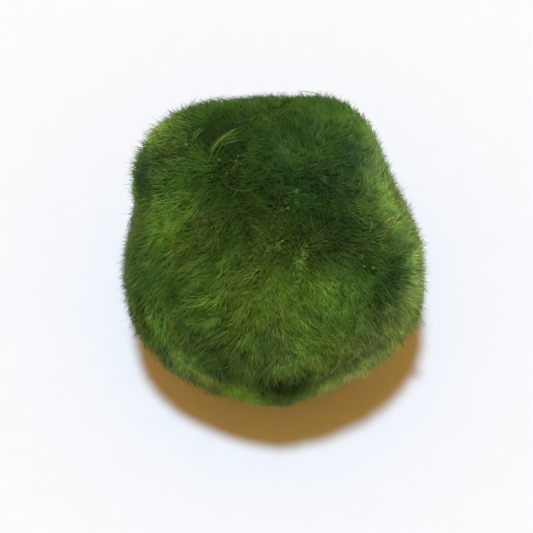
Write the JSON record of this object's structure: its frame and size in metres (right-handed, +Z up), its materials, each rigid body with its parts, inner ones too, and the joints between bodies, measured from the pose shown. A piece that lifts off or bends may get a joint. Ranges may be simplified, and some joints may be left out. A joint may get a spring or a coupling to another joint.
{
  "type": "marimo moss ball",
  "caption": "Soft, slightly lumpy ball of velvety green algae filaments that rests on a small flat spot.",
  "frame": {"origin": "middle of the bounding box, on the surface that the ball rests on", "axes": "+Z up; +X to the right and +Y away, as seen from the side that the camera looks from"},
  "size_m": [0.0496, 0.0514, 0.0467],
  "materials": {
    "moss": "matte"
  },
  "bodies": {
    "root": {"moss_ball": "moss"}
  },
  "joints": []
}
